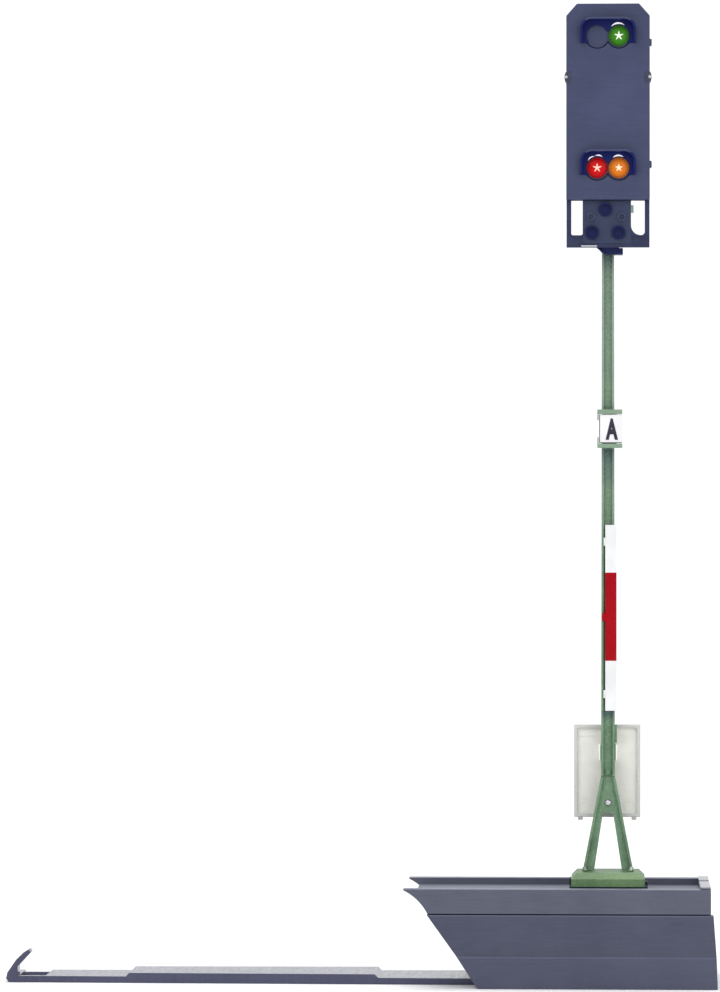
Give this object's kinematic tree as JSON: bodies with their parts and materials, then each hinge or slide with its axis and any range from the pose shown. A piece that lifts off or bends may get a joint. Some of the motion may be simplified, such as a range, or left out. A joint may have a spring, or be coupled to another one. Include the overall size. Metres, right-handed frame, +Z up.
{
  "type": "model railway colour-light signal",
  "caption": "Small-scale colour-light signal: lamp head on an H-section mast with a sign and a cabinet, plugged into a wedge-shaped base whose flat sliding arm hooks round the track bed.",
  "frame": {"origin": "on the base's underside, straight below the mast's axis", "axes": "+Z up along the mast, -Y towards the side the lamps face, -X along the arm towards the track"},
  "size_m": [0.0618, 0.0162, 0.0851],
  "materials": {
    "slate_plastic": "satin moulded plastic, dark slate blue-grey",
    "cover_plastic": "satin moulded plastic, slate grey",
    "head_plastic": "satin moulded plastic, dark blue-grey",
    "mast_green": "matt moulded plastic, grey-green",
    "ivory_plastic": "smooth moulded plastic, ivory",
    "sign_white": "smooth white plastic with printed areas",
    "green_lens": "clear tinted plastic, green",
    "red_lens": "clear tinted plastic, red",
    "orange_lens": "clear tinted plastic, orange",
    "board_green": "solder-masked laminate, green",
    "chip_black": "moulded black epoxy",
    "led_body": "pale resin",
    "brass": "plain brass",
    "steel": "plain steel",
    "copper_enamel": "enamelled copper wire bundle"
  },
  "bodies": {
    "base": {"base_housing": "slate_plastic", "base_cover": "cover_plastic", "base_floor": "slate_plastic", "floor_screw_1": "steel", "floor_screw_2": "steel", "circuit_board": "board_green", "driver_chip": "chip_black", "bridge_rectifier": "chip_black", "smoothing_capacitor": "steel", "resistor_1": "chip_black", "resistor_2": "chip_black", "terminal_block": "ivory_plastic", "mast_socket": "chip_black", "arm_latch": "brass", "end_clip": "slate_plastic"},
    "arm": {"track_arm": "slate_plastic"},
    "mast": {"head_bracket": "head_plastic", "signal_shield": "head_plastic", "lower_frame": "head_plastic", "call_on_lamp_top": "head_plastic", "call_on_lamp_left": "head_plastic", "call_on_lamp_right": "head_plastic", "shunt_lamp_left": "head_plastic", "shunt_lamp_right": "head_plastic", "lower_hood": "head_plastic", "upper_hood": "head_plastic", "lower_bezel": "head_plastic", "upper_bezel": "head_plastic", "blank_lens": "head_plastic", "lamp_case": "head_plastic", "case_back": "head_plastic", "shield_clip_left": "head_plastic", "shield_clip_right": "head_plastic", "platform": "head_plastic", "platform_bracket": "head_plastic", "foot_plate": "mast_green", "trestle": "mast_green", "foot_bolt_1": "mast_green", "foot_bolt_2": "mast_green", "foot_bolt_3": "mast_green", "foot_bolt_4": "mast_green", "mast_post": "mast_green", "letter_holder": "mast_green", "cabinet": "ivory_plastic", "cabinet_clip": "ivory_plastic", "letter_plate": "sign_white", "mast_sign": "sign_white", "green_lens": "green_lens", "red_lens": "red_lens", "orange_lens": "orange_lens", "lamp_board": "board_green", "green_led": "led_body", "red_led": "led_body", "orange_led": "led_body", "plug_pin_1": "brass", "plug_pin_2": "brass", "plug_pin_3": "brass", "plug_pin_4": "brass", "lamp_leads": "copper_enamel"}
  },
  "joints": [
    {"name": "arm_slide", "type": "slide", "parent": "base", "child": "arm", "axis": [-1, 0, 0], "range_m": [0, 0.006]},
    {"name": "mast_lift", "type": "slide", "parent": "base", "child": "mast", "axis": [0, 0, 1], "range_m": [0, 0.005]}
  ]
}
